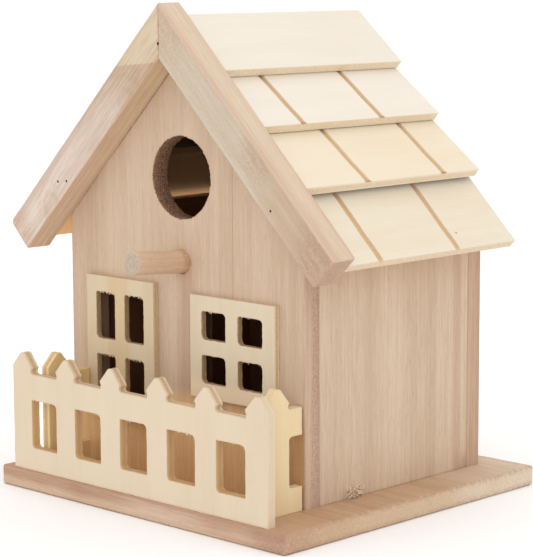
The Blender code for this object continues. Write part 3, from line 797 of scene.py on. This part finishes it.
def barge_wood(side, face, peak, sign):
    """Pale, blotchy wood: a short piece scarfed on at the left board's top, and pink speckled patches."""
    def below_peak(x, drop):
        return Vector((x * MM, face, peak - drop * MM))

    inwards = Vector((-sign, 0, -1)).normalized()
    outer_edge = below_peak(0, 0).dot(inwards)
    underside = past(inwards, outer_edge + 15.5 * MM, 0.2 * MM)
    if side == "right":
        marks = [(around(below_peak(6, 12), 15 * MM), (204, 175, 150), 0.9, True),
                 (around(below_peak(58, 60), 14 * MM), (190, 154, 130), 0.8, True),
                 (past(-UP, -peak, 1 * MM), (196, 177, 157), 0.45, True),
                 (past(ACROSS, 62 * MM, 22 * MM), (200, 174, 148), 0.7, False),
                 (around(below_peak(88, 100), 22 * MM), (180, 148, 124), 0.6, True),
                 (knot(below_peak(88, 92), 15 * MM, 5 * MM), (176, 140, 116), 0.35, True),
                 (past(inwards, outer_edge + 0.6 * MM, -0.4 * MM), (218, 198, 174), 0.85, False)]
        light, dark, contrast, seed = (211, 199, 179), (195, 178, 157), 0.9, 17
    else:
        scarf = both(past(-UP + ACROSS * 0.1, -185.6 * MM, 0.6 * MM), past(UP, 135 * MM, 40 * MM))
        waves = knot(below_peak(-115, -26), 300 * MM, 7 * MM)
        marks = [(scarf, (206, 182, 154), 0.9, False),
                 (both(scarf, waves), (186, 160, 138), 0.55, False),
                 (knot(below_peak(-22, 39), 17 * MM, 4.6 * MM), (184, 160, 140), 0.65, False),
                 (past(-UP, -165 * MM, 40 * MM), (228, 215, 204), 0.75, False),
                 (knot(below_peak(-70, 86), 14 * MM, 5 * MM), (206, 180, 160), 0.5, False),
                 (around(below_peak(-91, 100), 14 * MM), (204, 172, 146), 0.8, True)]
        light, dark, contrast, seed = (217, 200, 172), (196, 171, 143), 1.3, 12
    marks += [(underside, (228, 206, 170), 0.85, False),
              (both(underside, past(-UP, -150 * MM, 40 * MM)), (228, 200, 180), 0.7, True)]
    return board_wood(f"barge_{side}_wood", light, dark, grain=(sign, 0, -1), seed=seed, contrast=contrast,
                      marks=marks, end=((210, 186, 158), (192, 164, 138)), worn=(204, 166, 142),
                      worn_share=0.75)


def build_brads():
    """Small dark heads, flush in the barge boards' faces."""
    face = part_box("barge_left")[0].y
    profile = ((-0.06 * MM, 0.25 * MM), (-0.04 * MM, 0.5 * MM), (0.03 * MM, 0.62 * MM), (1.5 * MM, 0.45 * MM))
    for node_name in ("brad_peak", "brad_left_upper", "brad_left_lower", "brad_right"):
        points = [vert.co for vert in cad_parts[node_name].data.vertices]
        nearest = min(point.y for point in points)
        head = [point for point in points if point.y < nearest + 0.35 * MM]
        centre = sum(head, Vector()) / len(head)
        start = Vector((centre.x, face, centre.z))
        brad = turned(node_name + "_head", profile, 14, start, BACK, node_name)
        give(brad, dark_steel("steel_" + node_name, (62, 46, 38), 0.6))


# --- windows, fence and perch ---------------------------------------------------------------

def pane_boxes(node_name, rim, bar):
    """(left, bottom, right, top) of the four panes in a window frame."""
    low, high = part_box(node_name)
    width = (high.x - low.x - 2 * rim[0] - bar[0]) / 2
    height = (high.z - low.z - 2 * rim[1] - bar[1]) / 2
    boxes = []
    for column in range(2):
        for row in range(2):
            left = low.x + rim[0] + column * (width + bar[0])
            bottom = low.z + rim[1] + row * (height + bar[1])
            boxes.append((left, bottom, left + width, bottom + height))
    return boxes


def build_window(name, node_name, panes, veneer, shade, seed, marks=()):
    low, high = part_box(node_name)
    corners = (2.0 * MM, 0.5 * MM, 2.0 * MM, 1.0 * MM)
    holes = [rectangle(*pane, corners) for pane in panes]
    window = plate(name, rectangle(low.x, low.z, high.x, high.z), holes, high.y - low.y + GAP,
                   facing_front(low.y), node_name, radius=0.2 * MM, margin=0.5 * MM,
                   step=0.9 * MM, wobble=0.08 * MM, wobble_size=1.1 * MM, tear=0.2 * MM)
    return give(window, plywood(name + "_wood", veneer, shade, (216, 188, 148), (192, 160, 120), seed=seed,
                                skin=0.3, marks=marks, cut=(164, 124, 84)))


PICKETS = 6
PICKET_WIDTH = 12.2 * MM
PICKET_PITCH = 28.28 * MM
HOLE_FOOT, HOLE_TOP, RAIL, SHOULDER = 9.8 * MM, 30.7 * MM, 41.9 * MM, 45.0 * MM      # above the fence's foot


def picket(left, foot, top):
    """One picket above the rail, from right to left, with saw nicks at its foot."""
    right, middle = left + PICKET_WIDTH, left + PICKET_WIDTH / 2
    rail, shoulder = foot + RAIL, foot + SHOULDER
    nick = 0.7 * MM
    return [(right - 0.2 * MM, rail, 1.2 * MM), (right - nick, rail + 1.2 * MM, 0.4 * MM),
            (right + 0.1 * MM, shoulder - 0.4 * MM, 0.5 * MM), (middle + 1.1 * MM, top, 0.6 * MM),
            (middle - 0.9 * MM, top, 0.5 * MM), (left - 0.1 * MM, shoulder, 0.5 * MM),
            (left + nick, rail + 1.5 * MM, 0.6 * MM), (left + 0.3 * MM, rail - 0.2 * MM, 0.5 * MM)]


def fence_gaps():
    """(left, bottom, right, top) of the holes between the front panel's pickets."""
    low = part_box("fence_front")[0]
    return [(low.x + PICKET_WIDTH + index * PICKET_PITCH, low.z + HOLE_FOOT,
             low.x + (index + 1) * PICKET_PITCH, low.z + HOLE_TOP) for index in range(PICKETS - 1)]


def fence_wood(name, seed, veneer=(222, 205, 180), shade=(216, 196, 168), pale_from=0.0):
    """The fence's plywood, with pale sawn edges to the right of the given x."""
    return plywood(name, veneer, shade, (212, 184, 144), (192, 160, 120), seed=seed, skin=0.3,
                   pale_edge=past(ACROSS, pale_from, 1 * MM))


def build_fence_front():
    low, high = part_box("fence_front")
    foot, top = low.z, high.z
    outline = [(low.x, foot - GAP, 0), (high.x, foot - GAP, 0)]
    for index in reversed(range(PICKETS)):
        points = picket(low.x + index * PICKET_PITCH, foot, top)
        outline += points[2:] if index == PICKETS - 1 else points
    del outline[-2:]
    radii = (1.8 * MM, 0.5 * MM, 2.2 * MM, 0.5 * MM)
    holes = [rectangle(*gap, radii) for gap in reversed(fence_gaps())]
    fence = plate("fence_panel_front", rounded(outline, 3), holes, high.y - low.y, facing_front(low.y),
                  "fence_front", radius=0.25 * MM, margin=0.45 * MM, step=2.5 * MM,
                  wobble=0.1 * MM, wobble_size=3 * MM)
    return give(fence, fence_wood("fence_front_wood", 31, pale_from=high.x - PICKET_WIDTH / 2))


def build_fence_side(side, lead):
    """A short side panel with one picket, the given distance behind the front panel."""
    node_name = "fence_" + side
    low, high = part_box(node_name)
    foot, top = low.z, high.z
    hole_low, hole_high, rail = foot + HOLE_FOOT, foot + HOLE_TOP, foot + RAIL
    first, last = low.y + lead, low.y + lead + PICKET_WIDTH
    points = picket(first, foot, top)
    outline = [(low.y, foot - GAP, 0), (high.y, foot - GAP, 0), (high.y, hole_low, 0),
               (last, hole_low, 1.5 * MM), (last, hole_high, 1.5 * MM), (high.y, hole_high, 0),
               (high.y, rail, 0)]
    if lead:
        outline += [*points, (low.y, rail, 0), (low.y, hole_high, 0), (first, hole_high, 1.5 * MM),
                    (first, hole_low, 1.5 * MM), (low.y, hole_low, 0)]
    else:
        outline += points[:-2]
    panel = plate("fence_panel_" + side, rounded(outline, 3), [], high.x - low.x, facing_left(low.x),
                  node_name, radius=0.25 * MM, margin=0.45 * MM, step=2.5 * MM,
                  wobble=0.1 * MM, wobble_size=3 * MM)
    veneer, shade = (231, 209, 168), (222, 196, 152)
    # The left panel stands in shade, so it gets a more golden copy of the plywood: painted warm shade.
    if side == "left":
        veneer, shade = (233, 204, 150), (222, 188, 132)
    return give(panel, fence_wood(f"fence_{side}_wood", 33 + len(side), veneer, shade))


def build_perch():
    """A slightly uneven dowel with a stained foot."""
    start, way, length = long_axis("perch_dowel")
    profile = [(0, PERCH_RADIUS - 0.7 * MM), (0.12 * MM, PERCH_RADIUS - 0.35 * MM), (0.5 * MM, PERCH_RADIUS)]
    profile += [(length * part, PERCH_RADIUS * (1 + 0.006 * math.sin(9 * part)))
                for part in (0.1, 0.25, 0.4, 0.55, 0.7, 0.85)]
    profile += [(length - 0.4 * MM, PERCH_RADIUS), (length, PERCH_RADIUS - 0.4 * MM)]
    perch = turned("perch", profile, 56, start, way, "perch_dowel", wobble=0.06 * MM)
    foot = past(BACK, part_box("front_wall")[0].y - 3.5 * MM, 3 * MM)
    wood = board_wood("perch_wood", (224, 196, 168), (208, 176, 148), grain=way, seed=21, contrast=1.1,
                      marks=[(foot, (196, 150, 104), 0.7, True)], end=((194, 178, 160), (176, 158, 140)))
    return give(perch, wood)


# --- clean-out door -------------------------------------------------------------------------

def build_door():
    low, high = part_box("cleanout_door")
    outline = rectangle(low.x, low.z, high.x, high.z, [9 * MM] * 4)
    screw_low, screw_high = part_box("door_screw")
    pivot = (screw_low + screw_high) / 2
    hole = circle(pivot.x, pivot.z, 1.9 * MM, 20)
    door = plate("door_plate", outline, [hole], high.y - low.y, facing_front(low.y),
                 "cleanout_door", body=DOOR, margin=0.6 * MM, wobble=0.06 * MM)
    wood = plywood("door_wood", (232, 219, 194), (220, 201, 170), (188, 154, 112), (156, 120, 84), seed=41)
    return give(door, wood)


def build_screw():
    """A round-headed screw with a cross recess sunk in its dome."""
    low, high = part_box("door_screw")
    centre = Vector(((low.x + high.x) / 2, high.y, (low.z + high.z) / 2))
    head, dome, shank = 3.6 * MM, 2.2 * MM, 1.6 * MM
    length = high.y - low.y
    turns = [math.radians(angle) for angle in (88, 75, 60, 45, 30, 15, 3)]
    profile = [(dome * (1 - math.sin(turn)), head * math.cos(turn)) for turn in turns]
    profile += [(dome, head * 0.98), (dome, shank), (length - 2 * MM, shank), (length, shank * 0.3)]
    screw = turned("screw", profile, 40, centre, -BACK, "door_screw")
    bm = bmesh.new()
    for width, height in ((3.6, 0.7), (0.7, 3.6)):
        size = Matrix.Diagonal((width * MM, 1.6 * MM, height * MM, 1))
        bmesh.ops.create_cube(bm, size=1.0, matrix=Matrix.Translation(centre) @ size)
    tool_mesh = bpy.data.meshes.new("cross")
    bm.to_mesh(tool_mesh)
    bm.free()
    tool = bpy.data.objects.new("cross", tool_mesh)
    bpy.context.scene.collection.objects.link(tool)
    cut = screw.modifiers.new("cross", "BOOLEAN")
    cut.object = tool
    cut.use_self = True
    shaped = bpy.data.meshes.new_from_object(screw.evaluated_get(bpy.context.evaluated_depsgraph_get()))
    screw.modifiers.remove(cut)
    screw.data = shaped
    bpy.data.objects.remove(tool)
    return give(screw, dark_steel("screw_steel", (150, 146, 140), 0.32))


# --- loose fibres ---------------------------------------------------------------------------

def add_fibre(bm, root, way, length, width, bend, rng):
    """A thin tapering sliver, three-sided, that curls as it goes."""
    sideways = way.orthogonal().normalized()
    other = way.cross(sideways)
    curl = (sideways * rng.uniform(-1, 1) + other * rng.uniform(-1, 1)) * bend
    spots = [root + way * length * part + curl * length * part ** 2 for part in (0, 0.35, 0.7)]
    rings = []
    for spot, share in zip(spots, (1, 0.8, 0.5)):
        turns = [math.radians(120 * corner) for corner in range(3)]
        offsets = [(sideways * math.cos(turn) + other * math.sin(turn)) * width * share / 2 for turn in turns]
        rings.append([bm.verts.new(spot + offset) for offset in offsets])
    tip = bm.verts.new(root + way * length + curl * length)
    for near, far in zip(rings, rings[1:]):
        for index in range(3):
            bm.faces.new((near[index - 1], near[index], far[index], far[index - 1]))
    for index in range(3):
        bm.faces.new((rings[-1][index - 1], rings[-1][index], tip))
    bm.faces.new(rings[0])


def fibre_piece(name, fibres, colours, seed):
    """One piece of many fibres, from (root, direction, length, width, bend) tuples."""
    rng = random.Random(seed)
    bm = bmesh.new()
    for root, way, length, width, bend in fibres:
        add_fibre(bm, root, way.normalized(), length, width, bend, rng)
    piece = finish_mesh(bm, name)
    return give(piece, board_wood(name + "_wood", *colours, seed=seed, contrast=1.4))


def pane_fibres(panes, face, per_side, seed):
    """Torn fibres just behind a panel's face, round its sawn holes and mostly along their tops."""
    rng = random.Random(seed)
    fibres = []
    for left, bottom, right, top in panes:
        for _ in range(per_side):
            x = rng.uniform(left + 1 * MM, right - 1 * MM)
            root = Vector((x, face + rng.uniform(0.1, 1.2) * MM, top + 0.2 * MM))
            way = Vector((rng.uniform(-0.5, 0.5), rng.uniform(-0.1, 0.3), -1))
            fibres.append((root, way, rng.uniform(0.6, 1.5) * MM, rng.uniform(0.3, 0.6) * MM, 0.3))
        for _ in range(per_side * 2 // 3):
            side = rng.choice((left - 0.2 * MM, right + 0.2 * MM))
            root = Vector((side, face + rng.uniform(0.1, 1.2) * MM, rng.uniform(bottom, top)))
            way = Vector((1 if side < left else -1, rng.uniform(-0.1, 0.3), rng.uniform(-0.6, 0.6)))
            fibres.append((root, way, rng.uniform(0.4, 0.9) * MM, rng.uniform(0.3, 0.5) * MM, 0.3))
    return fibres


def build_tuft():
    """A curled tuft of wood wool caught at the foot of the right wall."""
    rng = random.Random(5)
    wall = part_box("right_wall")[1].x
    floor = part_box("base_board")[1].z
    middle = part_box("front_wall")[0].y + 28 * MM
    fibres = []
    for _ in range(60):
        root = Vector((wall + rng.uniform(0.2, 1.6) * MM, middle + rng.gauss(0, 2.4) * MM,
                       floor + rng.uniform(0.3, 4.4) * MM))
        way = Vector((rng.uniform(0.1, 0.7), rng.uniform(-1, 1), rng.uniform(-0.3, 0.8)))
        fibres.append((root, way, rng.uniform(1.5, 3.6) * MM, rng.uniform(0.25, 0.6) * MM, 0.9))
    return fibre_piece("wood_wool_tuft", fibres, ((254, 246, 216), (244, 222, 178)), 6)


def build_groove_burrs():
    """Lifted slivers where the roof's grooves run out, and beside the right fence panel."""
    rng = random.Random(11)
    fibres = []
    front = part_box("front_wall")[0].y
    for side, sign in (("left", -1), ("right", 1)):
        for row in (2, 3):
            _, low_over, high_over, _ = plank_corners(f"shingle_{side}_{row}")
            slope = (low_over - high_over).normalized()
            down, out = Vector((slope.x, 0, slope.y)), Vector((sign * abs(slope.y), 0, abs(slope.x)))
            for start in (FIRST_GROOVES[row], FIRST_GROOVES[row] + GROOVE_PITCH):
                for offset in (-1.0, -0.7, 0.8, 1.1):
                    edge = Vector((low_over.x, front + start + offset * MM, low_over.y)) - down * 0.6 * MM
                    way = down * rng.uniform(0.5, 1) + out * rng.uniform(0.1, 0.6)
                    way += BACK * rng.uniform(-0.3, 0.3)
                    fibres.append((edge - out * 0.1 * MM, way, rng.uniform(1.0, 2.0) * MM,
                                   rng.uniform(0.35, 0.6) * MM, 0.3))
    low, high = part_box("fence_right")
    for _ in range(10):
        height = low.z + rng.choice((rng.uniform(30, 33), rng.uniform(37, 42))) * MM
        root = Vector((rng.uniform(low.x + 1 * MM, high.x), high.y - 0.1 * MM, height))
        way = Vector((rng.uniform(-0.2, 0.5), 1, rng.uniform(-0.8, 0.4)))
        fibres.append((root, way, rng.uniform(0.4, 0.7) * MM, rng.uniform(0.15, 0.3) * MM, 0.3))
    return fibre_piece("groove_burrs", fibres, ((250, 242, 226), (226, 206, 172)), 12)


def build_windows_and_fence():
    left_panes = pane_boxes("window_left", (6.2 * MM, 6.95 * MM), (6.2 * MM, 7.0 * MM))
    right_panes = pane_boxes("window_right", (6.9 * MM, 6.4 * MM), (7.1 * MM, 6.6 * MM))
    tan_bar = both(past(-ACROSS, 31 * MM, 3 * MM), past(ACROSS, -44 * MM, 3 * MM))
    build_window("window_frame_left", "window_left", left_panes, (216, 199, 169), (203, 180, 144), 51,
                 [(tan_bar, (212, 184, 142), 0.6, False)])
    # Painted light on the lower part of the right window frame, lifting the shade it gets behind the fence.
    low_painted_light = past(-UP, -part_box("window_right")[0].z - 7 * MM, 6 * MM)
    build_window("window_frame_right", "window_right", right_panes, (222, 206, 180), (212, 194, 164), 52,
                 [(low_painted_light, (240, 216, 184), 0.8, False)])
    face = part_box("window_left")[0].y
    pale = ((240, 226, 202), (216, 192, 158))
    fibre_piece("window_fibres_left", pane_fibres(left_panes, face, 18, 7), pale, 7)
    fibre_piece("window_fibres_right", pane_fibres(right_panes, face, 5, 8), pale, 8)
    build_fence_front()
    build_fence_side("left", 0.0)
    build_fence_side("right", 6 * MM)
    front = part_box("fence_front")[0].y
    fibre_piece("fence_fibres", pane_fibres(fence_gaps(), front, 5, 9), pale, 9)


# --- studio ---------------------------------------------------------------------------------

def add_camera():
    """The photograph's viewpoint: 44 degrees round to the right and 8.5 degrees above level."""
    data = bpy.data.cameras.new("camera")
    data.sensor_width = 36.0
    data.lens = 136.65
    data.shift_x = -0.00585
    data.shift_y = -0.0005
    data.clip_start = 0.05
    data.clip_end = 20.0
    camera = bpy.data.objects.new("camera", data)
    camera.location = (0.6333, -0.6459, 0.2231)
    camera.rotation_euler = (math.radians(90 - 8.34), math.radians(0.23), math.radians(44.13))
    bpy.context.scene.collection.objects.link(camera)
    bpy.context.scene.camera = camera


def add_floor():
    """A plain white disc just under the base, wide enough to fill every view."""
    bm = bmesh.new()
    bmesh.ops.create_circle(bm, cap_ends=True, segments=96, radius=6.0)
    mesh = bpy.data.meshes.new("floor")
    bm.to_mesh(mesh)
    bm.free()
    floor = bpy.data.objects.new("floor", mesh)
    floor.location.z = -0.1 * MM
    material = bpy.data.materials.new("floor")
    material.use_nodes = True
    shader = material.node_tree.nodes["Principled BSDF"]
    shader.inputs["Base Color"].default_value = (0.98, 0.98, 0.98, 1)
    shader.inputs["Roughness"].default_value = 0.9
    shader.inputs["Specular IOR Level"].default_value = 0.0
    mesh.materials.append(material)
    bpy.context.scene.collection.objects.link(floor)


def add_lamp(name, place, size, power):
    """A large soft lamp that faces the middle of the object."""
    light = bpy.data.lights.new(name, "AREA")
    light.shape = "SQUARE"
    light.size = size
    light.energy = power
    lamp = bpy.data.objects.new(name, light)
    lamp.location = place
    lamp.rotation_euler = (Vector((0, 0, 0.1)) - Vector(place)).to_track_quat("-Z", "Y").to_euler()
    bpy.context.scene.collection.objects.link(lamp)


def add_studio():
    """An even white sky and two large soft lamps, shown without a film look."""
    scene = bpy.context.scene
    scene.view_settings.view_transform = "Standard"
    world = bpy.data.worlds.new("studio")
    scene.world = world
    world.use_nodes = True
    sky = world.node_tree.nodes["Background"]
    sky.inputs["Color"].default_value = (1.0, 1.0, 1.0, 1)
    sky.inputs["Strength"].default_value = 1.02
    add_lamp("overhead", (0.25, -0.15, 1.6), size=1.3, power=3.0)
    add_lamp("front", (1.1, -1.3, 0.7), size=1.2, power=3.0)


def main():
    add_camera()
    add_floor()
    add_studio()
    build_base()
    build_front_wall()
    build_back_wall()
    build_side_wall("wall_left", "left_wall", 5, 1)
    build_side_wall("wall_right", "right_wall", 2, 0)
    build_roof()
    build_barge("left")
    build_barge("right")
    build_brads()
    build_windows_and_fence()
    build_perch()
    build_door()
    build_screw()
    build_tuft()
    build_groove_burrs()


main()
